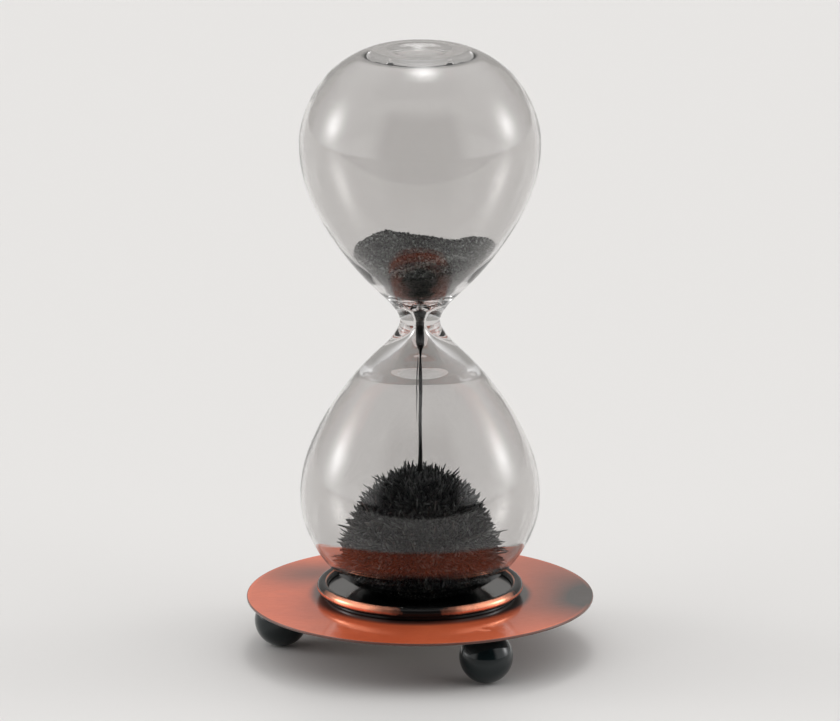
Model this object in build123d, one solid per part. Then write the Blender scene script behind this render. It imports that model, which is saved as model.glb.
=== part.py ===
from build123d import *
import os
from math import cos, sin, radians

# Magnetic hourglass: a sealed blown-glass hourglass filled with iron powder,
# standing loose on a round copper-finished base with a magnet under it.
# Millimetres, +Z up, origin on the table under the centre of the base.

os.makedirs("parts", exist_ok=True)

# ------------------------------------------------------------------ base
PLATE_R = 50.0          # round base plate
PLATE_T = 0.8
PLATE_TOP = 15.6        # height of its upper face above the table
PLATE_BOT = PLATE_TOP - PLATE_T
PLATE_EDGE = 0.25       # rolled edge radius
CENTRE_HOLE_R = 2.15    # clearance hole for the seat disc's spigot

BALL_R = 7.7            # ball feet
BALL_Z = 7.55           # 0.15 mm is flatted off where each foot stands
FOOT_CIRCLE_R = 40.1
FOOT_ANGLES = {"left": 178.0, "front": -62.0, "rear": 58.0}
STUD_R = 1.5            # M3 weld stud, plate to ball
STUD_LEN = 5.5
STUD_HOLE_R = 1.53
STUD_HOLE_DEPTH = 6.2

SEAT_TOP = 17.8         # floor that the glass stands on
SEAT_R = 27.6           # edge of the black seat disc
SPIGOT_R = 2.0          # M4 spigot below the seat disc
SPIGOT_LEN = 9.0        # below the plate's upper face

RING_R = 28.1           # centre circle of the round-wire ring
RING_WIRE_R = 1.6
RING_Z = 18.3
RING_GAP = 0.02         # solder film between ring and seat disc

MAGNET_R = 20.0         # countersink-free disc magnet, 40 x 5
MAGNET_T = 5.0
MAGNET_HOLE_R = 2.2
MAGNET_BEVEL = 0.4
WASHER_R = 6.0          # M4 wide washer
WASHER_T = 0.8
WASHER_HOLE_R = 2.15
NUT_AF = 7.0            # M4 thin nut
NUT_T = 2.2
NUT_HOLE_R = 2.03

# ------------------------------------------------------------------ glass
NECK_Z = 97.2           # middle of the throat
HALF_H = 79.4           # throat to either flat end
REST_RO = 12.6          # the flat ring that each end stands on
REST_RI = 9.6
PUNT = 2.0              # depth of the hollow in each end
GAP = 0.10              # powder to glass

# outside of one bulb: (distance from the throat along the axis, radius)
OUTER = [(0.0, 5.75), (3.0, 6.80), (6.0, 9.05), (9.0, 12.05), (12.0, 15.05),
         (16.0, 18.60), (20.0, 21.75), (25.0, 25.20), (30.0, 28.20),
         (36.0, 31.10), (42.0, 33.20), (48.0, 34.30), (52.0, 34.50),
         (56.0, 34.20), (60.0, 33.20), (64.0, 31.60), (67.0, 29.95),
         (70.5, 27.50), (73.5, 24.60), (76.0, 21.30), (78.0, 17.60),
         (79.1, 14.60), (79.4, 12.60)]
# inside of one bulb
INNER = [(0.0, 0.85), (1.0, 0.92), (2.0, 1.10), (3.0, 1.42), (4.0, 1.92),
         (5.0, 2.58), (6.0, 3.42), (7.0, 4.45), (8.0, 5.65), (10.0, 8.35),
         (12.0, 11.20), (16.0, 16.10), (20.0, 19.95), (25.0, 23.80),
         (30.0, 26.95), (36.0, 29.90), (42.0, 32.00), (48.0, 33.10),
         (52.0, 33.30), (56.0, 32.98), (60.0, 31.93), (64.0, 30.20),
         (67.0, 28.45), (70.5, 25.60), (73.5, 21.90), (75.6, 17.90),
         (76.55, 14.60), (76.60, 12.60)]
PUNT_IN = 75.5          # crown of the punt inside the bulb

# ------------------------------------------------------------------ powder
BEAD_R = 0.70           # plug of powder in the throat
UPPER_FROM, UPPER_TO = 1.3, 19.6    # what is left in the upper bulb
CRATER_Z = 13.2         # bottom of the crater, above the throat
HEAP_TOP_Z = 52.5       # heap in the lower bulb
HEAP = [(52.3, 3.0), (51.2, 7.0), (48.6, 11.2), (44.4, 15.4), (39.6, 18.6),
        (34.4, 20.8), (29.6, 22.2)]
HEAP_FLAT_R = 1.0
STREAM = [(96.1, 0.66), (93.2, 0.68), (90.4, 0.50), (88.4, 0.36), (84.0, 0.31),
          (72.0, 0.30), (62.0, 0.34), (56.0, 0.46), (52.5, 0.62)]


def save(shape, name):
    shape.label = name
    export_step(shape, "parts/" + name + ".step")


def spin(edges):
    """A solid of revolution about Z from closed edges in the X-Z half plane."""
    return revolve(make_face(edges), axis=Axis.Z, revolution_arc=360)


def pts(profile, side):
    """Profile points as (radius, 0, height); side +1 upper bulb, -1 lower."""
    return [Vector(r, 0, NECK_Z + side * t) for t, r in profile]


def smooth(points, tangents=None):
    """A curve through the points, spaced by the distance between them."""
    run = [0.0]
    for a, b in zip(points, points[1:]):
        run.append(run[-1] + (b - a).length)
    return Edge.make_spline(points, tangents=tangents, parameters=run,
                            scale=False)


# ------------------------------------------------------------ base plate
plate = Pos(0, 0, PLATE_BOT + PLATE_T / 2) * Cylinder(PLATE_R, PLATE_T)
rim = [e for e in plate.edges() if e.geom_type == GeomType.CIRCLE]
plate = fillet(rim, PLATE_EDGE)
plate -= Pos(0, 0, PLATE_TOP) * Cylinder(CENTRE_HOLE_R, 6)
save(plate, "base_plate")

# -------------------------------------------------------------- ball feet
for side, angle in FOOT_ANGLES.items():
    x = FOOT_CIRCLE_R * cos(radians(angle))
    y = FOOT_CIRCLE_R * sin(radians(angle))
    ball = Pos(x, y, BALL_Z) * Sphere(BALL_R)
    slab = Pos(x, y, PLATE_BOT / 2) * Box(3 * BALL_R, 3 * BALL_R, PLATE_BOT)
    ball = ball & slab
    ball -= Pos(x, y, PLATE_BOT - STUD_HOLE_DEPTH / 2) * Cylinder(
        STUD_HOLE_R, STUD_HOLE_DEPTH)
    save(ball, "foot_ball_" + side)
    stud = Pos(x, y, PLATE_BOT - STUD_LEN / 2) * Cylinder(STUD_R, STUD_LEN)
    tip = stud.faces().sort_by(Axis.Z)[0].edges()
    stud = chamfer(tip, 0.4)
    save(stud, "foot_stud_" + side)

# -------------------------------------------- seat disc and its wire ring
disc = Pos(0, 0, (PLATE_TOP + SEAT_TOP) / 2) * Cylinder(
    SEAT_R, SEAT_TOP - PLATE_TOP)
disc += Pos(0, 0, PLATE_TOP - SPIGOT_LEN / 2) * Cylinder(SPIGOT_R, SPIGOT_LEN)
disc -= Pos(0, 0, RING_Z) * Torus(RING_R, RING_WIRE_R + RING_GAP)
save(disc, "seat_disc")

ring = Pos(0, 0, RING_Z) * Torus(RING_R, RING_WIRE_R)
save(ring, "seat_ring")

# -------------------------------------------------- magnet and its fixing
magnet = Pos(0, 0, PLATE_BOT - MAGNET_T / 2) * Cylinder(MAGNET_R, MAGNET_T)
magnet = chamfer(magnet.faces().sort_by(Axis.Z)[0].edges(), MAGNET_BEVEL)
magnet -= Pos(0, 0, PLATE_BOT - MAGNET_T / 2) * Cylinder(
    MAGNET_HOLE_R, MAGNET_T + 2)
save(magnet, "magnet")

washer_z = PLATE_BOT - MAGNET_T - WASHER_T / 2
washer = Pos(0, 0, washer_z) * Cylinder(WASHER_R, WASHER_T)
washer -= Pos(0, 0, washer_z) * Cylinder(WASHER_HOLE_R, WASHER_T + 2)
save(washer, "magnet_washer")

nut_z = PLATE_BOT - MAGNET_T - WASHER_T - NUT_T
nut = Pos(0, 0, nut_z) * extrude(
    RegularPolygon(NUT_AF / 2, 6, major_radius=False), NUT_T)
nut -= Pos(0, 0, nut_z + NUT_T / 2) * Cylinder(NUT_HOLE_R, NUT_T + 2)
save(nut, "magnet_nut")

# ----------------------------------------------------------- glass vessel
UPZ, OUT = Vector(0, 0, 1), Vector(1, 0, 0)


def end_line(side, z_flat, r_out, r_in, crown):
    """Flat resting ring and the hollow (punt) that closes a bulb's end."""
    zf = NECK_Z + side * z_flat
    zc = NECK_Z + side * crown
    a = Vector(r_out, 0, zf)
    b = Vector(r_in, 0, zf)
    c = Vector(r_in * 0.55, 0, zf + (zc - zf) * 0.72)
    d = Vector(0, 0, zc)
    return [Line(a, b), smooth([b, c, d], [-OUT, -OUT])]


def vessel_outline(profile, z_flat, r_out, r_in, crown):
    up = smooth(pts(profile, 1), [UPZ, -OUT])
    low = smooth(pts(profile, -1), [-UPZ, -OUT])
    edges = [up, low]
    edges += end_line(1, z_flat, r_out, r_in, crown)
    edges += end_line(-1, z_flat, r_out, r_in, crown)
    edges.append(Line((0, 0, NECK_Z - crown), (0, 0, NECK_Z + crown)))
    return edges


outer_edges = vessel_outline(OUTER, HALF_H, REST_RO, REST_RI, HALF_H - PUNT)
inner_edges = vessel_outline(INNER, INNER[-1][0], REST_RO, REST_RI - 1.5,
                             PUNT_IN)
vessel = spin(outer_edges) - spin(inner_edges)
save(vessel, "glass_vessel")


# ----------------------------------------------------------------- powder
def inside(side, t_from, t_to, count=26):
    """Points GAP inside the glass between two distances from the throat."""
    wall = inner_edges[0] if side > 0 else inner_edges[1]
    out = []
    for i in range(count * 6):
        u = i / (count * 6 - 1.0)
        p = wall.position_at(u)
        t = side * (p.Z - NECK_Z)
        if t_from <= t <= t_to:
            d = wall.tangent_at(u)
            out.append(Vector(p.X - GAP * abs(d.Z), 0,
                              p.Z - side * GAP * max(0.0, -d.X)
                              + side * GAP * max(0.0, d.X)))
    step = max(1, len(out) // count)
    return out[:-1:step] + [out[-1]]


# what is left in the upper bulb: a funnel with a crater in its top
side = inside(1, UPPER_FROM, UPPER_TO)
low_pt, top_pt = side[0], side[-1]
crater = [top_pt, Vector(top_pt.X * 0.86, 0, top_pt.Z + 0.5),
          Vector(top_pt.X * 0.45, 0, NECK_Z + CRATER_Z + 2.6),
          Vector(0, 0, NECK_Z + CRATER_Z)]
upper = spin([smooth(side), smooth(crater),
              Line(crater[-1], (0, 0, low_pt.Z)),
              Line((0, 0, low_pt.Z), low_pt)])
save(upper, "upper_powder")

# the powder plug in the throat, about which the glass is turned over
save(Pos(0, 0, NECK_Z) * Sphere(BEAD_R), "throat_powder")

# the thread of powder that runs down from the throat to the heap
line = [Vector(r, 0, z) for z, r in STREAM]
stream = spin([smooth(line), Line(line[-1], (0, 0, line[-1].Z)),
               Line((0, 0, line[-1].Z), (0, 0, line[0].Z)),
               Line((0, 0, line[0].Z), line[0])])
save(stream, "powder_stream")

# the magnetised heap: a dome that fills the end of the lower bulb
side = inside(-1, 71.6, INNER[-1][0] - 0.02)
dome = [Vector(HEAP_FLAT_R, 0, HEAP_TOP_Z)]
dome += [Vector(r, 0, z) for z, r in HEAP]
dome.append(side[0])
floor_z = NECK_Z - INNER[-1][0] + GAP
crown_z = NECK_Z - PUNT_IN + GAP
r_in = REST_RI - 1.5
punt = [Vector(r_in, 0, floor_z),
        Vector(r_in * 0.55, 0, floor_z + (crown_z - floor_z) * 0.72),
        Vector(0, 0, crown_z)]
last = Vector(side[-1].X, 0, floor_z)
heap = spin([Line((0, 0, HEAP_TOP_Z), dome[0]), smooth(dome),
             smooth(side[:-1] + [last]), Line(last, punt[0]),
             smooth(punt, [-OUT, -OUT]),
             Line(punt[-1], (0, 0, HEAP_TOP_Z))])
save(heap, "lower_powder")
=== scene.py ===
import math
import random

import bpy
import numpy as np
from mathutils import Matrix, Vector, noise


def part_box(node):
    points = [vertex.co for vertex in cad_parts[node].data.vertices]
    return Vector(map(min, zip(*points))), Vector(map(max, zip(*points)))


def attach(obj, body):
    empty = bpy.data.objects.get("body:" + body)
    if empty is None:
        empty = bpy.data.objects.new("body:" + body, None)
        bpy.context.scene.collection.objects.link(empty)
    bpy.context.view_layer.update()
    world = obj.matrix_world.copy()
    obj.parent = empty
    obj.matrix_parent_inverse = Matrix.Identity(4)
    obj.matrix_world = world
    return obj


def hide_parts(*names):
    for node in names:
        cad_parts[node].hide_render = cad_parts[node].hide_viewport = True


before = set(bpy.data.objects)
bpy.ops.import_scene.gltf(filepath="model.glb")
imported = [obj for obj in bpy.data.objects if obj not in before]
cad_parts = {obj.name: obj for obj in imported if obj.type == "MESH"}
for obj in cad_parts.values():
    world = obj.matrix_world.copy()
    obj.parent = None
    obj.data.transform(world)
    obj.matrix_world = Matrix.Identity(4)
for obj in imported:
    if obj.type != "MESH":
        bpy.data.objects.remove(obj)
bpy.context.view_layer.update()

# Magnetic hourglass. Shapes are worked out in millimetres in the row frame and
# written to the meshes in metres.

MM = 0.001
BOX_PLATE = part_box("base_plate")
BOX_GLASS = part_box("glass_vessel")
PLATE_TOP = BOX_PLATE[1].z / MM
PLATE_BOT = BOX_PLATE[0].z / MM
PLATE_R = 50.0
NECK_Z = (BOX_GLASS[0].z + BOX_GLASS[1].z) / 2 / MM
HALF_H = (BOX_GLASS[1].z - BOX_GLASS[0].z) / 2 / MM
SEAT_TOP = BOX_GLASS[0].z / MM
RING_R, RING_W, RING_Z = 28.1, 1.6, 18.3

scene = bpy.context.scene
scene.view_settings.view_transform = "Standard"
scene.view_settings.look = "None"
scene.view_settings.exposure = 0.0
scene.view_settings.gamma = 1.0
# thick glass passes light on many times inside the neck
scene.cycles.max_bounces = 40
scene.cycles.transmission_bounces = 40
scene.cycles.glossy_bounces = 12


# ------------------------------------------------------------------ helpers
def facing_out(verts, faces):
    """The faces, turned so that the closed surface's normals point outwards."""
    v = np.array([tuple(q) for q in verts], float)
    vol = 0.0
    for n in (3, 4):
        f = np.array([q for q in faces if len(q) == n], int)
        if len(f):
            for k in range(1, n - 1):
                a, b, c = v[f[:, 0]], v[f[:, k]], v[f[:, k + 1]]
                vol += float((a * np.cross(b, c)).sum())
    return faces if vol >= 0 else [q[::-1] for q in faces]


def new_object(name, verts, faces, smooth=True, closed=True):
    if closed:
        faces = facing_out(verts, faces)
    mesh = bpy.data.meshes.new(name)
    mesh.from_pydata([tuple(v) for v in verts], [], faces)
    mesh.validate()
    mesh.update()
    ob = bpy.data.objects.new(name, mesh)
    scene.collection.objects.link(ob)
    if smooth:
        mesh.polygons.foreach_set("use_smooth", [True] * len(mesh.polygons))
    return ob


def cubic(points, start=None, end=None, step=0.5, least=4):
    """A smooth curve through 2-D points, spaced by length, with end directions."""
    p = np.array(points, float)
    h = np.hypot(*(p[1:] - p[:-1]).T)
    u = np.concatenate([[0.0], np.cumsum(h)])
    n = len(p)
    a = np.zeros((n, n))
    b = np.zeros((n, 2))
    for i in range(1, n - 1):
        a[i, i - 1] = h[i]
        a[i, i] = 2 * (h[i - 1] + h[i])
        a[i, i + 1] = h[i - 1]
        b[i] = 3 * (h[i] * (p[i] - p[i - 1]) / h[i - 1]
                    + h[i - 1] * (p[i + 1] - p[i]) / h[i])
    if start is None:
        a[0, 0], a[0, 1] = 2, 1
        b[0] = 3 * (p[1] - p[0]) / h[0]
    else:
        a[0, 0] = 1
        b[0] = start
    if end is None:
        a[-1, -2], a[-1, -1] = 1, 2
        b[-1] = 3 * (p[-1] - p[-2]) / h[-1]
    else:
        a[-1, -1] = 1
        b[-1] = end
    d = np.linalg.solve(a, b)
    out = []
    for i in range(n - 1):
        k = max(least, int(math.ceil(h[i] / step)))
        for j in range(k):
            s = j / k
            h00 = 2 * s ** 3 - 3 * s ** 2 + 1
            h10 = s ** 3 - 2 * s ** 2 + s
            h01 = -2 * s ** 3 + 3 * s ** 2
            h11 = s ** 3 - s ** 2
            out.append(h00 * p[i] + h10 * h[i] * d[i] + h01 * p[i + 1]
                       + h11 * h[i] * d[i + 1])
    out.append(p[-1])
    return [tuple(q) for q in out]


def lathe_data(profile, seg, wobble=None, base=0, flip=False):
    """Vertices and faces of a profile [(r, z)] turned about Z. Radius 0 makes a pole."""
    verts, rings, faces = [], [], []
    for k, (r, z) in enumerate(profile):
        if r < 1e-6:
            rings.append([base + len(verts)])
            verts.append((0.0, 0.0, z * MM))
        else:
            ids = []
            for i in range(seg):
                a = 2 * math.pi * i / seg
                rr = r + (wobble(a, r, z) if wobble else 0.0)
                ids.append(base + len(verts))
                verts.append((rr * math.cos(a) * MM, rr * math.sin(a) * MM, z * MM))
            rings.append(ids)
    for lo, hi in zip(rings, rings[1:]):
        for i in range(seg):
            j = (i + 1) % seg
            if len(lo) == 1 and len(hi) == 1:
                continue
            if len(lo) == 1:
                f = [lo[0], hi[i], hi[j]]
            elif len(hi) == 1:
                f = [lo[i], hi[0], lo[j]]
            else:
                f = [lo[i], hi[i], hi[j], lo[j]]
            faces.append(f[::-1] if flip else f)
    return verts, faces


def torus(name, big, small, z, seg, around):
    verts, faces = [], []
    for i in range(seg):
        a = 2 * math.pi * i / seg
        for j in range(around):
            b = 2 * math.pi * j / around
            r = big + small * math.cos(b)
            verts.append((r * math.cos(a) * MM, r * math.sin(a) * MM,
                          (z + small * math.sin(b)) * MM))
    for i in range(seg):
        for j in range(around):
            i2, j2 = (i + 1) % seg, (j + 1) % around
            faces.append([i * around + j, i2 * around + j,
                          i2 * around + j2, i * around + j2])
    return new_object(name, verts, faces)


def step01(lo, hi, x):
    t = min(1.0, max(0.0, (x - lo) / (hi - lo)))
    return t * t * (3 - 2 * t)


def vert_value(ob, name, values):
    att = ob.data.attributes.new(name, "FLOAT", "POINT")
    att.data.foreach_set("value", [float(v) for v in values])


# ---------------------------------------------------------------- materials
def material(name):
    m = bpy.data.materials.new(name)
    m.use_nodes = True
    nt = m.node_tree
    nt.nodes.clear()
    out = nt.nodes.new("ShaderNodeOutputMaterial")
    bs = nt.nodes.new("ShaderNodeBsdfPrincipled")
    nt.links.new(bs.outputs[0], out.inputs[0])
    return m, nt, bs


def nd(nt, kind, **kw):
    n = nt.nodes.new(kind)
    for k, v in kw.items():
        setattr(n, k, v)
    return n


def coords(nt, scale=(1, 1, 1)):
    tc = nd(nt, "ShaderNodeTexCoord")
    mp = nd(nt, "ShaderNodeMapping")
    mp.inputs["Scale"].default_value = scale
    nt.links.new(tc.outputs["Object"], mp.inputs["Vector"])
    return mp.outputs[0]


def noise_node(nt, vec, scale, detail=3.0, rough=0.5, dist=0.0):
    n = nd(nt, "ShaderNodeTexNoise")
    n.inputs["Scale"].default_value = scale
    n.inputs["Detail"].default_value = detail
    n.inputs["Roughness"].default_value = rough
    n.inputs["Distortion"].default_value = dist
    nt.links.new(vec, n.inputs["Vector"])
    return n.outputs[0]


def ramp(nt, fac, stops):
    r = nd(nt, "ShaderNodeValToRGB")
    e = r.color_ramp.elements
    while len(e) < len(stops):
        e.new(0.5)
    for el, (pos, col) in zip(e, stops):
        el.position = pos
        el.color = (*col, 1) if len(col) == 3 else col
    nt.links.new(fac, r.inputs[0])
    return r.outputs[0]


def mapr(nt, val, a, b, c, d):
    m = nd(nt, "ShaderNodeMapRange")
    m.inputs[1].default_value, m.inputs[2].default_value = a, b
    m.inputs[3].default_value, m.inputs[4].default_value = c, d
    nt.links.new(val, m.inputs[0])
    return m.outputs[0]


def mixc(nt, fac, a, b):
    m = nd(nt, "ShaderNodeMix", data_type="RGBA")
    if isinstance(fac, (int, float)):
        m.inputs[0].default_value = fac
    else:
        nt.links.new(fac, m.inputs[0])
    for s, v in ((m.inputs[6], a), (m.inputs[7], b)):
        if isinstance(v, tuple):
            s.default_value = (*v, 1)
        else:
            nt.links.new(v, s)
    return m.outputs[2]


def math2(nt, op, a, b=None, clamp=False):
    m = nd(nt, "ShaderNodeMath", operation=op, use_clamp=clamp)
    for s, v in zip(m.inputs, (a, b)):
        if v is None:
            continue
        if isinstance(v, (int, float)):
            s.default_value = v
        else:
            nt.links.new(v, s)
    return m.outputs[0]


def bump(nt, bs, height, strength, distance):
    b = nd(nt, "ShaderNodeBump")
    b.inputs["Strength"].default_value = strength
    b.inputs["Distance"].default_value = distance
    nt.links.new(height, b.inputs["Height"])
    nt.links.new(b.outputs[0], bs.inputs["Normal"])
    return b


# lacquered antique-copper plate
m_copper, nt, bs = material("antique_copper_plate")
v = coords(nt)
cloud = noise_node(nt, v, 38.0, 4, 0.55, 0.4)
fine = noise_node(nt, coords(nt, (1, 7, 1)), 420.0, 3, 0.6)
base = ramp(nt, cloud, [(0.30, (0.86, 0.150, 0.054)), (0.62, (0.97, 0.200, 0.078))])
base = mixc(nt, mapr(nt, fine, 0.35, 0.75, 0.0, 0.25), base, (0.62, 0.092, 0.034))
# the vertex value darkens the copper: real patina and spots, with painted shade round and beside the seat
pat = nd(nt, "ShaderNodeAttribute", attribute_name="patina_and_shading").outputs["Fac"]
spots = noise_node(nt, v, 900.0, 4, 0.7)
pat2 = math2(nt, "ADD", pat, mapr(nt, spots, 0.62, 0.80, 0.0, 0.30), True)
base = mixc(nt, pat2, base, (0.050, 0.038, 0.034))
nt.links.new(base, bs.inputs["Base Color"])
bs.inputs["Metallic"].default_value = 0.25
rough = math2(nt, "ADD", mapr(nt, cloud, 0.3, 0.7, 0.40, 0.50),
              mapr(nt, fine, 0.3, 0.7, 0.0, 0.06))
nt.links.new(rough, bs.inputs["Roughness"])
bs.inputs["Specular IOR Level"].default_value = 0.2
bs.inputs["Coat Weight"].default_value = 1.0
bs.inputs["Coat Roughness"].default_value = 0.05
bs.inputs["Coat IOR"].default_value = 1.5
bump(nt, bs, math2(nt, "ADD", fine, math2(nt, "MULTIPLY", cloud, 1.5)), 0.12, 0.00008)

# copper ring: dark where it was not relieved and, on its underside, dark as painted shade; its copper patches
# and thin inner lines stand where the lamps' highlights fall, partly painted highlight
m_ring, nt, bs = material("antique_copper_ring")
v = coords(nt)
pat = nd(nt, "ShaderNodeAttribute", attribute_name="patina_and_shading").outputs["Fac"]
grain = noise_node(nt, v, 700.0, 4, 0.65)
soft = noise_node(nt, v, 120.0, 3, 0.6)
pm = math2(nt, "ADD", pat, mapr(nt, soft, 0.3, 0.7, -0.14, 0.14))
pm = math2(nt, "ADD", pm, mapr(nt, grain, 0.3, 0.7, -0.08, 0.08))
pm = mapr(nt, pm, 0.16, 0.82, 0.0, 1.0)
nt.links.new(mixc(nt, pm, (0.97, 0.375, 0.225), (0.009, 0.009, 0.009)),
             bs.inputs["Base Color"])
nt.links.new(mapr(nt, pm, 0.0, 1.0, 1.0, 0.15), bs.inputs["Metallic"])
nt.links.new(mapr(nt, grain, 0.3, 0.7, 0.17, 0.25), bs.inputs["Roughness"])
bs.inputs["Specular IOR Level"].default_value = 0.1
bs.inputs["Coat Weight"].default_value = 0.20
bs.inputs["Coat Roughness"].default_value = 0.05
bump(nt, bs, grain, 0.06, 0.00005)

# gloss black enamel: seat disc and ball feet
def enamel(name, tint, rough, peel):
    m, nt, bs = material(name)
    v = coords(nt)
    cloud = noise_node(nt, v, 60.0, 3, 0.5)
    nt.links.new(ramp(nt, cloud, [(0.3, tint), (0.7, tuple(c * 1.7 for c in tint))]),
                 bs.inputs["Base Color"])
    nt.links.new(mapr(nt, cloud, 0.3, 0.7, rough * 0.8, rough * 1.3),
                 bs.inputs["Roughness"])
    bs.inputs["Specular IOR Level"].default_value = 0.6
    bs.inputs["Coat Weight"].default_value = 1.0
    bs.inputs["Coat Roughness"].default_value = 0.03
    bump(nt, bs, noise_node(nt, v, 260.0, 2, 0.5), peel, 0.0001)
    return m


m_disc = enamel("black_enamel_disc", (0.0035, 0.0040, 0.0042), 0.16, 0.02)
m_ball = enamel("black_enamel_ball", (0.0030, 0.0066, 0.0074), 0.11, 0.05)
m_ball.node_tree.nodes["Principled BSDF"].inputs["Coat Weight"].default_value = 0.27
m_ball.node_tree.nodes["Principled BSDF"].inputs["Specular IOR Level"].default_value = 0.35
m_disc.node_tree.nodes["Principled BSDF"].inputs["Coat Weight"].default_value = 0.60

# blown glass
m_glass, nt, bs = material("blown_glass")
bs.inputs["Base Color"].default_value = (0.772, 0.762, 0.755, 1)
bs.inputs["Roughness"].default_value = 0.0
bs.inputs["IOR"].default_value = 1.47
bs.inputs["Transmission Weight"].default_value = 1.0
vor = noise_node(nt, coords(nt, (1, 1, 0.6)), 34.0, 1, 0.4)
bump(nt, bs, vor, 0.05, 0.0004)


# iron powder; the per-vertex value is each grain's or spike's own lightness, with painted highlight on the
# grains along the ridge crest and painted shade in front of the crest and at the spike roots
def powder(name, dark, light, scale, rough, metal):
    m, nt, bs = material(name)
    v = coords(nt)
    g = noise_node(nt, v, scale, 3, 0.7)
    tone_and_shading = nd(nt, "ShaderNodeAttribute", attribute_name="tone_and_shading").outputs["Fac"]
    mixed = math2(nt, "ADD", math2(nt, "MULTIPLY", tone_and_shading, 0.75),
                  mapr(nt, g, 0.30, 0.72, 0.0, 0.42), True)
    nt.links.new(ramp(nt, mixed, [(0.10, dark), (0.95, light)]), bs.inputs["Base Color"])
    nt.links.new(mapr(nt, mixed, 0.0, 1.0, rough, rough - 0.20), bs.inputs["Roughness"])
    bs.inputs["Metallic"].default_value = metal
    bump(nt, bs, g, 0.5, 0.0003)
    return m


m_powder = powder("iron_powder_grains", (0.0025, 0.0029, 0.0027), (0.50, 0.535, 0.505), 1500.0, 0.58, 0.4)
m_spike = powder("iron_powder_spikes", (0.010, 0.0108, 0.0108), (0.26, 0.272, 0.268), 1700.0, 0.50, 0.5)
m_steel, nt, bs = material("zinc_plated_steel")
v = coords(nt)
g = noise_node(nt, v, 500.0, 4, 0.6)
nt.links.new(ramp(nt, g, [(0.3, (0.42, 0.43, 0.44)), (0.7, (0.62, 0.63, 0.63))]), bs.inputs["Base Color"])
bs.inputs["Metallic"].default_value = 1.0
nt.links.new(mapr(nt, g, 0.3, 0.7, 0.24, 0.40), bs.inputs["Roughness"])
bump(nt, bs, g, 0.1, 0.0001)
m_nickel, nt, bs = material("nickel_plate")
v = coords(nt)
g = noise_node(nt, coords(nt, (1, 1, 8)), 300.0, 4, 0.6)
nt.links.new(ramp(nt, g, [(0.3, (0.56, 0.53, 0.49)), (0.7, (0.68, 0.65, 0.60))]), bs.inputs["Base Color"])
bs.inputs["Metallic"].default_value = 1.0
nt.links.new(mapr(nt, g, 0.3, 0.7, 0.16, 0.30), bs.inputs["Roughness"])
bump(nt, bs, g, 0.05, 0.0001)


def finish_piece(ob, mat, body, slot, *nodes):
    ob.data.materials.append(mat)
    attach(ob, body)
    if nodes:
        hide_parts(*nodes)
    return ob


# ------------------------------------------------------------ glass profile
OUTER = [(0.0, 5.75), (3.0, 6.80), (6.0, 9.05), (9.0, 12.05), (12.0, 15.05),
         (16.0, 18.60), (20.0, 21.75), (25.0, 25.20), (30.0, 28.20),
         (36.0, 31.10), (42.0, 33.20), (48.0, 34.30), (52.0, 34.50),
         (56.0, 34.20), (60.0, 33.20), (64.0, 31.60), (67.0, 29.95),
         (70.5, 27.50), (73.5, 24.60), (76.0, 21.30), (78.0, 17.60),
         (79.1, 14.60), (79.4, 12.60)]
BULB = [(16.0, 16.75), (20.0, 20.25), (25.0, 23.85),
        (30.0, 26.95), (36.0, 29.90), (42.0, 32.00), (48.0, 33.10),
        (52.0, 33.30), (56.0, 32.98), (60.0, 31.95), (64.0, 30.28),
        (67.0, 28.60), (70.5, 26.00), (73.5, 22.85), (75.8, 19.20),
        (77.2, 15.90), (77.6, 12.60)]
INNER = [(0.0, 1.26), (1.0, 1.27), (2.0, 1.34), (3.0, 1.52), (4.0, 1.80),
         (5.0, 2.15), (6.0, 3.25), (7.0, 5.75), (8.0, 8.00), (9.0, 9.60),
         (10.0, 10.80), (11.0, 11.85), (12.0, 12.85), (14.0, 14.85)] + BULB
INNER_LOW = [(0.0, 1.26), (1.0, 1.29), (2.0, 1.42), (3.0, 1.70), (4.0, 2.14),
             (5.0, 2.74), (6.0, 3.52), (7.0, 4.52), (8.0, 5.70), (10.0, 8.35),
             (12.0, 11.15), (14.0, 13.75)] + BULB
REST_RI, PUNT, PUNT_IN = 9.6, 2.0, 75.7


def half_profile(pts, step, r_in, z_flat, crown):
    """(r, t) from the throat to the crown of the punt."""
    rt = [(r, t) for t, r in pts]
    curve = cubic(rt, start=(0, 1), end=(-1, 0), step=step)
    flat = [(r_in + (rt[-1][0] - r_in) * k / 3.0, z_flat) for k in (2, 1, 0)]
    b = (r_in, z_flat)
    c = (r_in * 0.55, z_flat + (crown - z_flat) * 0.72)
    punt = cubic([b, c, (0.0, crown)], start=(-1, 0), end=(-1, 0), step=step)
    return curve + flat[:-1] + punt


out_half = half_profile(OUTER, 0.9, REST_RI, HALF_H, HALF_H - PUNT)
in_half = half_profile(INNER, 0.6, REST_RI - 1.5, INNER[-1][0], PUNT_IN)
in_low = half_profile(INNER_LOW, 0.6, REST_RI - 1.5, INNER[-1][0], PUNT_IN)


def full(half, low_half):
    up = [(r, NECK_Z + t) for r, t in half]
    low = [(r, NECK_Z - t) for r, t in low_half[1:]]
    return low[::-1] + up


IN_T = np.array([t for r, t in half_profile(INNER, 0.25, REST_RI - 1.5, INNER[-1][0], PUNT_IN)])
IN_R = np.array([r for r, t in half_profile(INNER, 0.25, REST_RI - 1.5, INNER[-1][0], PUNT_IN)])
_cut = int(np.argmax(IN_T))
IN_T, IN_R = IN_T[:_cut + 1], IN_R[:_cut + 1]


def wall_r(t):
    """Inside radius of a bulb at a distance t from the throat."""
    return float(np.interp(abs(t), IN_T, IN_R))


def floor_t(r):
    """Distance from the throat to the inside of a bulb's end, at a radius."""
    if r <= REST_RI - 1.5:
        s = r / (REST_RI - 1.5)
        k = s * s * (3 - 2 * s)
        return PUNT_IN + (INNER[-1][0] - PUNT_IN) * k
    big = IN_T > 52.0
    return float(np.interp(r, IN_R[big][::-1], IN_T[big][::-1]))


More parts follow.
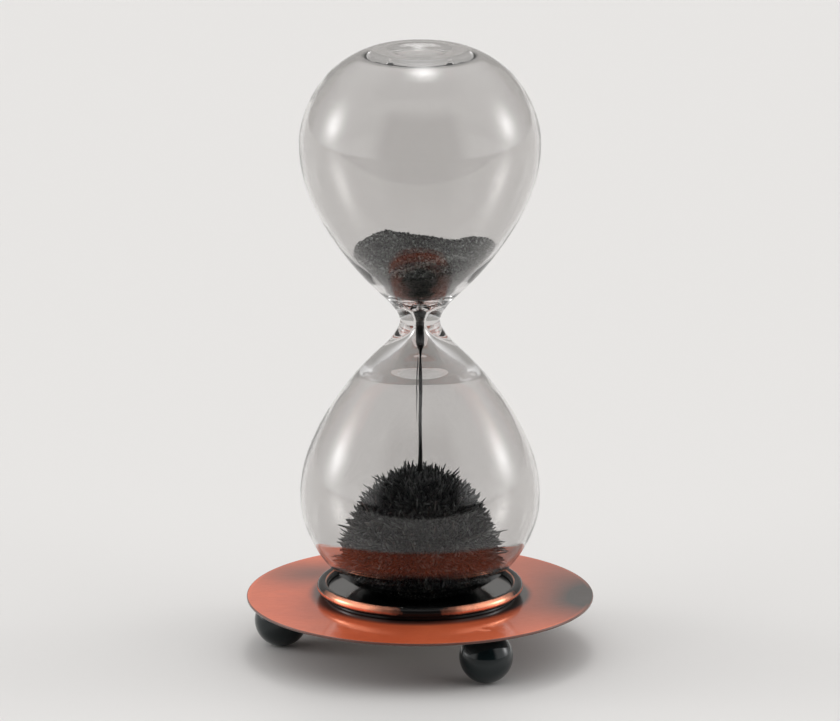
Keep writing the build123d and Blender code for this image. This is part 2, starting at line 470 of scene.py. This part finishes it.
def glass_wobble(a, r, z):
    """The slight unevenness of hand-blown glass, fading out at the flat ends."""
    t = abs(z - NECK_Z)
    k = step01(1.0, 14.0, t) * (1 - step01(68.0, 77.0, t))
    p = Vector((math.cos(a) * 1.1, math.sin(a) * 1.1, z * 0.045))
    return 0.085 * k * noise.noise(p * 1.3 + Vector((3.1, 7.7, 1.9)))


SEG = 224
v1, f1 = lathe_data(full(out_half, out_half), SEG)
v2, f2 = lathe_data(full(in_half, in_low), SEG, wobble=glass_wobble)
f1 = facing_out(v1, f1)
f2 = [[i + len(v1) for i in f[::-1]] for f in facing_out(v2, f2)]
vessel = new_object("blown_glass_vessel", v1 + v2, f1 + f2, closed=False)
finish_piece(vessel, m_glass, "glass", "clear_glass", "glass_vessel")


# ------------------------------------------------------------ upper powder
CONTACT = [(0, 21.9), (10, 22.0), (20, 21.8), (40, 21.1), (60, 19.1), (90, 20.0),
           (120, 21.7), (150, 20.3), (180, 18.9), (210, 17.7), (242, 16.7),
           (270, 17.1), (300, 18.4), (330, 20.3), (360, 21.9)]


def contact_t(az):
    az = math.degrees(az) % 360
    xs = [c[0] for c in CONTACT]
    ys = [c[1] for c in CONTACT]
    i = max(k for k in range(len(xs)) if xs[k] <= az + 1e-9)
    if i >= len(xs) - 1:
        return ys[-1]
    s = (az - xs[i]) / (xs[i + 1] - xs[i])
    s = s * s * (3 - 2 * s)
    return ys[i] * (1 - s) + ys[i + 1] * s


def grain_noise(p, size):
    return noise.noise(p / size)


def build_upper():
    naz, ntop, nside = 330, 78, 86
    verts, faces = [], []
    crater = 12.6

    def top_h(az, s):
        tc = contact_t(az)
        h = crater + (tc - crater) * (0.25 * s + 0.75 * s ** 1.9)
        # a ridge inside the front edge, higher to the right
        front = max(0.0, math.cos(az - math.radians(285)))
        right = 0.5 + 0.5 * math.cos(az - math.radians(330))
        ridge = front * (0.9 + 5.3 * right)
        h += ridge * math.exp(-abs(s - 0.60) / 0.17)
        return h

    center = len(verts)
    verts.append(Vector((0, 0, NECK_Z + top_h(0, 0))))
    ring_ids = []
    for k in range(1, ntop + 1):
        s = k / ntop
        ids = []
        for i in range(naz):
            az = 2 * math.pi * i / naz
            tc = contact_t(az)
            r = (wall_r(tc) - 0.07) * s
            h = top_h(az, s)
            x, y = r * math.cos(az), r * math.sin(az)
            p = Vector((x, y, h))
            h += 0.45 * grain_noise(p, 3.6) * min(1.0, (1 - s) * 6)
            ids.append(len(verts))
            verts.append(Vector((x, y, NECK_Z + h)))
        ring_ids.append(ids)
    for k in range(1, nside + 1):
        ids = []
        for i in range(naz):
            az = 2 * math.pi * i / naz
            tc = contact_t(az)
            t = tc + (1.1 - tc) * (k / nside) ** 0.92
            r = wall_r(t) - 0.07
            ids.append(len(verts))
            verts.append(Vector((r * math.cos(az), r * math.sin(az), NECK_Z + t)))
        ring_ids.append(ids)
    last = len(verts)
    verts.append(Vector((0, 0, NECK_Z + 0.95)))
    for i in range(naz):
        j = (i + 1) % naz
        faces.append([center, ring_ids[0][i], ring_ids[0][j]])
        faces.append([last, ring_ids[-1][j], ring_ids[-1][i]])
    for a, b in zip(ring_ids, ring_ids[1:]):
        for i in range(naz):
            j = (i + 1) % naz
            faces.append([a[i], b[i], b[j], a[j]])
    # grains: push each vertex in or out; only inwards against the glass
    out = []
    n_top = 1 + ntop * naz
    for n, p in enumerate(verts):
        if n < n_top:
            g = abs(grain_noise(p + Vector((11, 5, 3)), 0.55)) * 0.34 + grain_noise(p, 0.30) * 0.10
            r = math.hypot(p.x, p.y)
            lim = wall_r(p.z - NECK_Z) - 0.05
            p = Vector((p.x, p.y, p.z + g))
            if r > lim and r > 0:
                p.x *= lim / r
                p.y *= lim / r
        else:
            g = abs(grain_noise(p + Vector((2, 9, 4)), 0.50)) * 0.16
            r = math.hypot(p.x, p.y)
            if r > 1.2:
                k = (r - g) / r
                p = Vector((p.x * k, p.y * k, p.z))
        out.append((p.x * MM, p.y * MM, p.z * MM))
    ob = new_object("upper_powder_mass", out, faces)
    vert_value(ob, "tone_and_shading", [0.06] * len(ob.data.vertices))
    return ob


def add_grain(verts, faces, c, size, rnd):
    """A rough little lump with eight faces."""
    base = len(verts)
    ax = [Vector((rnd.gauss(0, 1), rnd.gauss(0, 1), rnd.gauss(0, 1))).normalized()]
    ax.append(ax[0].orthogonal().normalized())
    ax.append(ax[0].cross(ax[1]))
    for k in range(3):
        verts.append(c + ax[k] * size * rnd.uniform(0.65, 1.25))
        verts.append(c - ax[k] * size * rnd.uniform(0.65, 1.25))
    for i in (0, 1):
        for j in (2, 3):
            for k in (4, 5):
                f = [base + i, base + j, base + k]
                if (i + j + k) % 2 == 1:
                    f = f[::-1]
                faces.append(f)


def build_grains(source, count, size, gap, seed, name, lowest=0.0):
    """Loose grains over a mesh's surface, spread evenly by area."""
    rnd = random.Random(seed)
    me = source.data
    pts, weights = [], []
    for poly in me.polygons:
        c = poly.center / MM
        if c.z < lowest:
            continue
        pts.append((c, Vector(poly.normal)))
        weights.append(poly.area)
    picks = rnd.choices(range(len(pts)), weights=weights, k=count)
    verts, faces, tones_and_shading = [], [], []
    for n in picks:
        c, nrm = pts[n]
        sz = size * rnd.uniform(0.7, 1.35)
        p = c + nrm * (sz * 0.42) + Vector((rnd.uniform(-.2, .2), rnd.uniform(-.2, .2), rnd.uniform(-.1, .1)))
        r = math.hypot(p.x, p.y)
        lim = wall_r(p.z - NECK_Z) - gap - sz * 1.3
        if r > lim and r > 0.01:
            p.x *= lim / r
            p.y *= lim / r
        add_grain(verts, faces, p, sz, rnd)
        tone_and_shading = rnd.random() ** 4.2
        az = math.atan2(c.y, c.x)
        edge = math.hypot(c.x, c.y) / max(1.0, wall_r(contact_t(az)))
        # grains along the front ridge's crest are made light as painted highlight, and those in front of it
        # darker as painted shade
        if math.sin(az) < -0.15 and p.z - NECK_Z > 14.0:
            if abs(edge - 0.60) < 0.04:
                tone_and_shading = 0.55 + 0.30 * rnd.random()
            elif edge > 0.64:
                tone_and_shading *= 0.85
        tones_and_shading += [tone_and_shading] * 6
    ob = new_object(name, [(q.x * MM, q.y * MM, q.z * MM) for q in verts], faces,
                    smooth=False, closed=False)
    vert_value(ob, "tone_and_shading", tones_and_shading)
    return ob


upper = build_upper()
grains = build_grains(upper, 9500, 0.43, 0.04, 3, "upper_powder_grains", NECK_Z + 7.0)
finish_piece(grains, m_powder, "glass", "iron_powder")
finish_piece(upper, m_powder, "glass", "iron_powder", "upper_powder")


# -------------------------------------------------------- plug and stream
def tube(name, path, seg, rough_amp, seed):
    """A closed rough thread from [(x, y, z, r)]."""
    verts, faces, rings = [], [], []
    for k, (x, y, z, r) in enumerate(path):
        ids = []
        for i in range(seg):
            a = 2 * math.pi * i / seg
            q = Vector((math.cos(a) * 1.4, math.sin(a) * 1.4, z * 2.3 + seed))
            rr = r * (1 + rough_amp * noise.noise(q))
            ids.append(len(verts))
            verts.append(((x + rr * math.cos(a)) * MM, (y + rr * math.sin(a)) * MM, z * MM))
        rings.append(ids)
    for a, b in zip(rings, rings[1:]):
        for i in range(seg):
            j = (i + 1) % seg
            faces.append([a[i], a[j], b[j], b[i]])
    faces.append(rings[0][::-1])
    faces.append(rings[-1])
    return new_object(name, verts, faces)


def radius_at(table, z):
    zs = [q[0] for q in table][::-1]
    rs = [q[1] for q in table][::-1]
    return float(np.interp(z, zs, rs))


STREAM = [(96.5, 1.14), (95.0, 1.16), (92.6, 1.18), (90.8, 1.18), (89.8, 1.12), (89.0, 0.80),
          (88.2, 0.42), (86.8, 0.27), (85.6, 0.27), (83.6, 0.46), (80.0, 0.52), (72.0, 0.45),
          (62.0, 0.47), (56.0, 0.58), (53.6, 0.74), (51.6, 1.15)]
path = []
z = 96.6
while z > 51.6:
    k = min(1.0, max(0.0, (94.0 - z) / 40.0))
    x = 0.20 * (1 - k) * step01(0, 1, (91.4 - z) / 4.0) + 0.06 * math.sin(z * 0.35) * step01(92.0, 86.0, z)
    y = 0.05 * math.sin(z * 0.27 + 1.0) * step01(92.0, 86.0, z)
    path.append((x, y, z, radius_at(STREAM, z)))
    z -= 0.22
m_thread = powder("iron_powder_thread", (0.003, 0.003, 0.003), (0.030, 0.031, 0.030), 1700.0, 0.60, 0.3)
stream = tube("powder_thread", path[::-1], 24, 0.12, 0.0)
finish_piece(stream, m_thread, "glass", "iron_powder", "powder_stream")
# a few grains fall in a short, thinner thread beside the main one
side_path = []
z = 87.4
while z > 67.0:
    side_path.append((-0.62 - 0.30 * step01(87.0, 78.0, z) + 0.05 * math.sin(z * 0.6),
                      0.16, z, 0.04 + 0.11 * step01(87.4, 83.0, z) * step01(67.0, 76.0, z)))
    z -= 0.25
side = tube("powder_thread_side", side_path[::-1], 12, 0.04, 2.0)
finish_piece(side, m_thread, "glass", "iron_powder", "powder_stream")

plug_path = []
for k in range(25):
    b = math.pi * k / 24
    plug_path.append((0, 0, NECK_Z - 1.0 * math.cos(b), max(0.05, 1.16 * math.sin(b) ** 0.4)))
plug = tube("throat_plug", plug_path, 28, 0.03, 4.0)
finish_piece(plug, m_thread, "throat", "iron_powder", "throat_powder")


# ------------------------------------------------------------- lower heap
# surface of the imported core, radius by height; the spikes stand on it
CORE = [(51.3, 0.0), (51.0, 3.0), (49.9, 6.3), (47.4, 10.2), (43.4, 14.1),
        (38.6, 17.2), (33.8, 19.3), (29.6, 20.6), (26.2, 21.0), (24.4, 20.6)]


def build_core():
    naz = 300
    dome = cubic([(r, z) for z, r in CORE], start=(1, 0), step=0.42, least=4)
    verts, faces, rings = [], [], []
    prof = list(dome)
    # down the glass and across the end
    r0, z0 = prof[-1]
    low = []
    for k in range(1, 26):
        s = k / 25
        t = (NECK_Z - z0) + (76.4 - (NECK_Z - z0)) * s
        r = min(wall_r(t) - 1.05, r0 + 0.4 * s)
        low.append((r, NECK_Z - t))
    prof += low
    r1, z1 = prof[-1]
    for k in range(1, 22):
        r = r1 * (1 - k / 22)
        prof.append((r, max(z1, NECK_Z - floor_t(r) + 0.95)))
    prof.append((0.0, NECK_Z - floor_t(0) + 0.95))
    verts.append(Vector((0, 0, prof[0][1])))
    for r, z in prof[1:-1]:
        ids = []
        for i in range(naz):
            a = 2 * math.pi * i / naz
            ids.append(len(verts))
            verts.append(Vector((r * math.cos(a), r * math.sin(a), z)))
        rings.append(ids)
    last = len(verts)
    verts.append(Vector((0, 0, prof[-1][1])))
    for i in range(naz):
        j = (i + 1) % naz
        faces.append([0, rings[0][i], rings[0][j]])
        faces.append([last, rings[-1][j], rings[-1][i]])
    for a, b in zip(rings, rings[1:]):
        for i in range(naz):
            j = (i + 1) % naz
            faces.append([a[i], b[i], b[j], a[j]])
    out = []
    for p in verts:
        g = 0.28 * grain_noise(p, 0.9) + 0.16 * grain_noise(p + Vector((5, 5, 5)), 0.4)
        r = math.hypot(p.x, p.y)
        d = Vector((p.x, p.y, (p.z - 27) * 0.9))
        if d.length > 0:
            d.normalize()
        if p.z < 23.0:
            g = -abs(g) * 0.3
        q = p + d * g
        t = NECK_Z - q.z
        lim = wall_r(t) - 0.10
        r = math.hypot(q.x, q.y)
        if r > lim:
            q.x *= lim / r
            q.y *= lim / r
        q.z = max(q.z, NECK_Z - floor_t(min(math.hypot(q.x, q.y), 20.0)) + 0.08)
        out.append((q.x * MM, q.y * MM, q.z * MM))
    ob = new_object("heap_core", out, faces)
    vert_value(ob, "tone_and_shading", [0.0] * len(ob.data.vertices))
    return ob


core = build_core()
finish_piece(core, m_spike, "glass", "iron_powder", "lower_powder")

rng = random.Random(7)


def core_point(s, az):
    """Point on the core at s = (r, z), turned to the angle az."""
    r, z = s
    return Vector((r * math.cos(az), r * math.sin(az), z))


def spike(verts, faces, tones_and_shading, root, direction, length, width, bend, tone_and_shading, sides=5, seg=2):
    """A knobbly spike of grains with a blunt tip."""
    d = direction.normalized()
    side = d.cross(Vector((0.3, 0.5, 0.81)))
    if side.length < 1e-3:
        side = d.cross(Vector((1, 0, 0)))
    side.normalize()
    up = d.cross(side).normalized()
    base = len(verts)
    for k in range(seg + 1):
        s = (0.0, 0.45, 0.90)[k]
        c = root + d * (length * s) + bend * (s * s * length)
        w = width * (1.0, 0.88, 0.46)[k] * rng.uniform(0.80, 1.20)
        tw = rng.random() * 1.2
        for i in range(sides):
            a = 2 * math.pi * i / sides + tw
            ww = w * rng.uniform(0.8, 1.2)
            verts.append(c + side * (ww * math.cos(a)) + up * (ww * math.sin(a)))
            # darker towards the root: painted shade deep between the spikes
            tones_and_shading.append(tone_and_shading * (0.25, 0.75, 1.0)[k])
    verts.append(root + d * length + bend * length)
    tones_and_shading.append(tone_and_shading)
    tip = len(verts) - 1
    for k in range(seg):
        for i in range(sides):
            j = (i + 1) % sides
            a = base + k * sides
            b = a + sides
            faces.append([a + i, a + j, b + j, b + i])
    a = base + seg * sides
    for i in range(sides):
        faces.append([a + i, a + (i + 1) % sides, tip])
    faces.append([base + i for i in range(sides)][::-1])


def inside_glass(p, gap):
    t = NECK_Z - p.z
    if t > 77.55:
        return False
    return math.hypot(p.x, p.y) < wall_r(t) - gap


def build_spikes():
    """Every spike on the heap, in two meshes: above and below its widest part."""
    surf = cubic([(r, z) for z, r in CORE], start=(1, 0), step=0.2, least=6)
    surf += [(min(20.6, wall_r(NECK_Z - z) - 1.1), z) for z in np.arange(24.1, 21.1, -0.25)]
    surf += [(r, max(20.8, NECK_Z - floor_t(r) + 1.0)) for r in np.arange(surf[-1][0] - 0.4, 6.0, -0.4)]
    arc = [0.0]
    for a, b in zip(surf, surf[1:]):
        arc.append(arc[-1] + math.hypot(b[0] - a[0], b[1] - a[1]))
    total = arc[-1]
    sets = {"heap_spikes_upper": ([], [], []), "heap_spikes_lower": ([], [], [])}
    pitch = 1.02
    u = 0.25
    while u < total:
        r = float(np.interp(u, arc, [q[0] for q in surf]))
        z = float(np.interp(u, arc, [q[1] for q in surf]))
        k = min(len(surf) - 2, max(1, int(np.searchsorted(arc, u))))
        tr = surf[k + 1][0] - surf[k - 1][0]
        tz = surf[k + 1][1] - surf[k - 1][1]
        n2 = math.hypot(tr, tz) or 1.0
        nr, nz = -tz / n2, tr / n2
        count = max(3, int(2 * math.pi * r / pitch))
        for i in range(count):
            az = 2 * math.pi * (i + rng.random() * 0.9) / count + u * 1.7
            uu = rng.uniform(-0.3, 0.3)
            root = Vector((r * math.cos(az), r * math.sin(az), z + uu * 0.5))
            nrm = Vector((nr * math.cos(az), nr * math.sin(az), nz))
            field = Vector((root.x, root.y, (root.z - 29.5) * 1.25))
            if field.length < 0.1:
                field = Vector((0, 0, 1))
            field.normalize()
            d = nrm * 0.50 + field * 0.70
            # tufts lean together
            q = root * 0.34
            lean = Vector((noise.noise(q + Vector((1, 0, 0))),
                           noise.noise(q + Vector((0, 9, 0))),
                           noise.noise(q + Vector((0, 0, 17)))))
            d += lean * 1.15
            d += Vector((rng.gauss(0, 1), rng.gauss(0, 1), rng.gauss(0, 1))) * 0.25
            d.normalize()
            if d.dot(nrm) < 0.15:
                d = (d + nrm * 0.6).normalized()
            tuft = 0.5 + 0.5 * noise.noise(root * 0.55 + Vector((4, 4, 4)))
            length = 0.6 + 2.7 * tuft ** 1.6 + 2.2 * rng.random() ** 2.2
            width = 0.30 + 0.20 * rng.random()
            if rng.random() < 0.035:
                length += rng.uniform(0.8, 2.8)
            if z < 25.5:
                length = min(length, 1.5)
            bend = Vector((rng.gauss(0, 0.16), rng.gauss(0, 0.16), rng.gauss(0.02, 0.14)))
            start = root - d * 0.45
            while length > 0.4 and not inside_glass(start + (d + bend) * length, 0.12):
                length *= 0.85
            if length <= 0.4:
                continue
            name = "heap_spikes_upper" if z > 35.5 else "heap_spikes_lower"
            tone_and_shading = 0.06 + 0.94 * rng.random() ** 2.4
            spike(*sets[name], start, d, length + 0.45, width, bend, tone_and_shading)
        u += pitch * 0.82
    made = []
    for name, (vs, fs, ts) in sets.items():
        ob = new_object(name, [(p.x * MM, p.y * MM, p.z * MM) for p in vs], fs,
                        smooth=False, closed=False)
        vert_value(ob, "tone_and_shading", ts)
        finish_piece(ob, m_spike, "glass", "iron_powder")
        made.append(ob)
    return made


spikes = build_spikes()


# ------------------------------------------------------------------- base
def build_plate():
    e = 0.28
    t, b, R = PLATE_TOP, PLATE_BOT, PLATE_R
    prof = [(0.0, t), (2.15, t)]
    prof = [(2.2, t)]
    for r in np.linspace(3.0, 49.0, 116):
        prof.append((float(r), t))
    for k in range(7):
        a = math.pi / 2 * k / 6
        prof.append((R - e + e * math.sin(a), t - e + e * math.cos(a)))
    for k in range(7):
        a = math.pi / 2 * k / 6
        prof.append((R - e + e * math.cos(a), b + e - e * math.sin(a)))
    for r in np.linspace(48.5, 3.0, 20):
        prof.append((float(r), b))
    prof.append((2.2, b))
    verts, faces = lathe_data(prof, 384)
    seg, n = 384, len(prof)
    # close the bore
    for i in range(seg):
        j = (i + 1) % seg
        faces.append([(n - 1) * seg + i, i, j, (n - 1) * seg + j])
    studs = [(40.1 * math.cos(math.radians(a)), 40.1 * math.sin(math.radians(a)))
             for a in (178.0, -62.0, 58.0)]
    out = []
    for x, y, z in verts:
        X, Y, Z = x / MM, y / MM, z / MM
        if Z > t - 0.01 and math.hypot(X, Y) < 49.3:
            dz = 0.0
            for sx, sy in studs:
                d = math.hypot(X - sx, Y - sy)
                dz -= 0.045 * math.exp(-(d / 1.5) ** 2)
                dz += 0.018 * math.exp(-((d - 2.6) / 0.8) ** 2)
            dz += 0.022 * noise.noise(Vector((X, Y, 0)) * 0.055)
            Z += dz
        out.append((X * MM, Y * MM, Z * MM))
    ob = new_object("base_plate_skin", out, faces)
    vals = []
    for vtx in ob.data.vertices:
        X, Y, Z = vtx.co / MM
        r = math.hypot(X, Y)
        p = 0.0
        # a dark smudge towards the right rim; painted shade beside the seat at the left rear; darker at the
        # right rear, towards the right and towards the back; and a band of painted shade round the seat,
        # under the ring
        p += 1.0 * math.exp(-(((X - 50) / 17.0) ** 2 + ((Y + 1) / 26) ** 2))
        p += 0.66 * math.exp(-(((X + 31) / 17) ** 2 + ((Y - 21) / 12) ** 2))
        p += 0.16 * math.exp(-(((X - 30) / 15) ** 2 + ((Y - 28) / 10) ** 2))
        p += 0.16 * step01(8, 40, X) * step01(-38, -18, Y) + 0.10 * step01(4, 30, Y)
        p += 0.85 * (1 - step01(29.6, 33.0, r))
        p += 0.10 * noise.noise(Vector((X, Y, 0)) * 0.07)
        # darker underneath and on the outer edge, lighter in a band just inside the rim
        if Z < t - 0.34:
            p = 0.93
        elif r > 49.75:
            p = 0.88
        elif r > 48.9:
            p -= 0.12
        vals.append(max(0.0, min(1.0, p)))
    vert_value(ob, "patina_and_shading", vals)
    return ob


plate = build_plate()
finish_piece(plate, m_copper, "base", "copper_plate", "base_plate")

ring = torus("seat_ring_wire", RING_R, RING_W - 0.01, RING_Z, 420, 64)
vals = []
for vtx in ring.data.vertices:
    X, Y, Z = vtx.co / MM
    az = math.atan2(Y, X)
    th = math.degrees(math.atan2(Z - RING_Z, math.hypot(X, Y) - RING_R))
    deg = math.degrees(az) % 360
    # bare copper at four diagonals; the front pair is placed where the side lamps' highlights fall, so it is
    # partly painted highlight
    bright = 0.0
    for c in (48.0, 132.0, 228.0, 312.0):
        bright = max(bright, math.exp(-(abs(deg - c) / 23.0) ** 2.1))
    # copper only on the outer side of the tube: the underside is darkened as painted shade, and the top is
    # dark too
    top = step01(88, 60, th) if th > 0 else step01(-42, -4, th)
    edge = (1 - step01(5, 20, abs(th - 2))) * step01(0.50, 0.85, abs(math.cos(az)))
    # a thin copper line on the inner top at the left and right ends: painted highlight
    inner = (1 - step01(3, 12, abs(th - 128))) * step01(0.25, 0.7, abs(math.cos(az)))
    vals.append(1.0 - max(bright * top, 0.80 * edge, 0.75 * inner))
vert_value(ring, "patina_and_shading", vals)
finish_piece(ring, m_ring, "base", "copper_ring", "seat_ring")


def build_disc():
    """Turned black disc: floor, ring groove, edge and spigot."""
    prof = [(0.0, SEAT_TOP)]
    for r in np.linspace(0.6, 26.2, 60):
        prof.append((float(r), SEAT_TOP))
    g = RING_W + 0.02
    a0 = math.degrees(math.asin((SEAT_TOP - RING_Z) / g))
    ang0 = 180 - a0
    ang1 = 180 + math.degrees(math.acos(min(1.0, (RING_R - 27.6) / g)))
    for k in range(17):
        a = math.radians(ang0 + (ang1 - ang0) * k / 16)
        prof.append((RING_R + g * math.cos(a), RING_Z + g * math.sin(a)))
    prof += [(27.6, 16.5), (27.6, 15.9), (27.55, 15.68), (27.4, 15.6), (24.0, 15.6), (2.05, 15.6),
             (2.0, 15.5), (2.0, 7.0), (1.8, 6.6), (0.0, 6.6)]
    verts, faces = lathe_data(prof, 256)
    ob = new_object("seat_disc_turned", verts, faces)
    return ob


disc = build_disc()
finish_piece(disc, m_disc, "base", "black_enamel", "seat_disc")


def build_ball(side, angle):
    x = 40.1 * math.cos(math.radians(angle))
    y = 40.1 * math.sin(math.radians(angle))
    R, zc = 7.7, 7.55
    a_lo = math.asin(-zc / R)
    a_hi = math.asin((PLATE_BOT - zc) / R)
    prof = [(0.0, 0.0), (R * math.cos(a_lo) - 0.12, 0.0)]
    n = 96
    for k in range(n + 1):
        a = a_lo + (a_hi - a_lo) * k / n
        prof.append((R * math.cos(a), zc + R * math.sin(a) + (0.02 if k == 0 else 0)))
    prof.append((1.5, PLATE_BOT))
    prof.append((0.0, PLATE_BOT))
    verts, faces = lathe_data(prof, 160)
    verts = [(vx + x * MM, vy + y * MM, vz) for vx, vy, vz in verts]
    ob = new_object("ball_foot_" + side, verts, faces)
    return finish_piece(ob, m_ball, "base", "black_enamel", "foot_ball_" + side)


for side, angle in (("left", 178.0), ("front", -62.0), ("rear", 58.0)):
    build_ball(side, angle)

for node, mat in (("foot_stud_left", m_steel), ("foot_stud_front", m_steel),
                  ("foot_stud_rear", m_steel), ("magnet_washer", m_steel),
                  ("magnet_nut", m_steel), ("magnet", m_nickel)):
    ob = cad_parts[node]
    if not ob.material_slots:
        ob.data.materials.append(mat)
    for s in ob.material_slots:
        s.material = mat


# ------------------------------------------------------------------ stage
def stage_material(name, rgb):
    """Pale, and duller in front of the object for what the gloss mirrors."""
    m = bpy.data.materials.new(name)
    m.use_nodes = True
    nt = m.node_tree
    nt.nodes.clear()
    out = nt.nodes.new("ShaderNodeOutputMaterial")
    di = nt.nodes.new("ShaderNodeBsdfDiffuse")
    lp = nt.nodes.new("ShaderNodeLightPath")
    sp = nt.nodes.new("ShaderNodeSeparateXYZ")
    nt.links.new(nt.nodes.new("ShaderNodeNewGeometry").outputs["Position"], sp.inputs[0])
    front = mapr(nt, sp.outputs["Y"], -0.055, -0.075, 0.0, 1.0)
    mirrored = math2(nt, "GREATER_THAN", lp.outputs["Glossy Depth"], 0.5)
    fac = math2(nt, "MULTIPLY", front, mirrored)
    far = math2(nt, "MULTIPLY", mapr(nt, sp.outputs["Y"], -0.33, -0.37, 0.0, 1.0), mirrored)
    col = mixc(nt, fac, rgb, tuple(c * 0.68 for c in rgb))
    nt.links.new(mixc(nt, far, col, tuple(c * 0.05 for c in rgb)), di.inputs["Color"])
    nt.links.new(di.outputs[0], out.inputs[0])
    return m


fx = 6.0
floor = new_object("floor", [(-fx, -fx, 0), (fx, -fx, 0), (fx, fx, 0), (-fx, fx, 0)],
                   [[0, 1, 2, 3]], smooth=False, closed=False)
floor.data.materials.append(stage_material("pale_floor", (0.80, 0.785, 0.77)))

TENT = 0.97
world = bpy.data.worlds.new("studio")
scene.world = world
world.use_nodes = True
nt = world.node_tree
nt.nodes.clear()
wout = nt.nodes.new("ShaderNodeOutputWorld")
bg = nt.nodes.new("ShaderNodeBackground")
nt.links.new(bg.outputs[0], wout.inputs[0])
tc = nt.nodes.new("ShaderNodeTexCoord")
sep = nt.nodes.new("ShaderNodeSeparateXYZ")
nt.links.new(tc.outputs["Generated"], sep.inputs[0])
dx, dy, dz = sep.outputs["X"], sep.outputs["Y"], sep.outputs["Z"]


def soft_box(cx, cy, cz, sy, sz, level):
    """A light patch with soft edges, round a direction; cx = 0 is overhead."""
    if cx == 0:
        u = math2(nt, "DIVIDE", math2(nt, "SUBTRACT", dx, 0.03), sy)
        v = math2(nt, "DIVIDE", math2(nt, "SUBTRACT", dy, cy), sz)
        gate = math2(nt, "GREATER_THAN", dz, 0.0)
    else:
        u = math2(nt, "DIVIDE", math2(nt, "SUBTRACT", dy, cy), sy)
        v = math2(nt, "DIVIDE", math2(nt, "SUBTRACT", dz, cz), sz)
        gate = math2(nt, "GREATER_THAN" if cx > 0 else "LESS_THAN", dx, 0.0)
    q = math2(nt, "ADD", math2(nt, "MULTIPLY", u, u), math2(nt, "MULTIPLY", v, v))
    g = math2(nt, "POWER", 2.718, math2(nt, "MULTIPLY", q, -1.0))
    return math2(nt, "MULTIPLY", math2(nt, "MULTIPLY", g, gate), level)


# a white tent, greyer behind, with a dark opening in front
side_az = math2(nt, "ARCTAN2", math2(nt, "ABSOLUTE", dx), math2(nt, "MULTIPLY", dy, -1.0))
opening = math2(nt, "MULTIPLY", mapr(nt, side_az, 0.62, 0.92, 1.0, 0.0),
                mapr(nt, dz, 0.68, 0.84, 1.0, 0.0))
behind = math2(nt, "MULTIPLY", mapr(nt, dy, 0.30, 0.75, 0.0, 1.0),
               mapr(nt, dz, 0.30, 0.70, 1.0, 0.0))
col = mixc(nt, behind, (TENT, TENT, TENT), (0.43, 0.42, 0.405))
col = mixc(nt, opening, col, (0.022, 0.023, 0.024))
glow = soft_box(-1, 0.17, 0.28, 0.16, 0.17, 5.0)
for args in ((1, 0.17, 0.28, 0.16, 0.17, 4.6), (-1, 0.10, 0.10, 0.24, 0.34, 0.55),
             (1, 0.10, 0.10, 0.24, 0.34, 0.5), (0, 0.41, 0, 0.11, 0.14, 7.5)):
    glow = math2(nt, "ADD", glow, soft_box(*args))
add = nt.nodes.new("ShaderNodeMix")
add.data_type = "RGBA"
add.blend_type = "ADD"
add.inputs[0].default_value = 1.0
nt.links.new(col, add.inputs[6])
nt.links.new(glow, add.inputs[7])
nt.links.new(add.outputs[2], bg.inputs[0])
bg.inputs[1].default_value = 1.0

# ----------------------------------------------------------------- camera
PX = 0.2865 * MM
DIST = 2.5
ELEV = math.radians(14.9)
cam = bpy.data.cameras.new("camera")
cam_ob = bpy.data.objects.new("camera", cam)
scene.collection.objects.link(cam_ob)
scene.camera = cam_ob
cam.sensor_width = 36.0
cam.lens = 36.0 * DIST / (840 * PX)
aim = Vector((0.0, 0.0, 0.08533))
cam_ob.location = aim + Vector((0, -math.cos(ELEV), math.sin(ELEV))) * DIST
cam_ob.rotation_mode = "QUATERNION"
cam_ob.rotation_quaternion = (aim - cam_ob.location).to_track_quat("-Z", "Y")
cam.clip_start, cam.clip_end = 0.1, 60.0

bpy.context.view_layer.update()
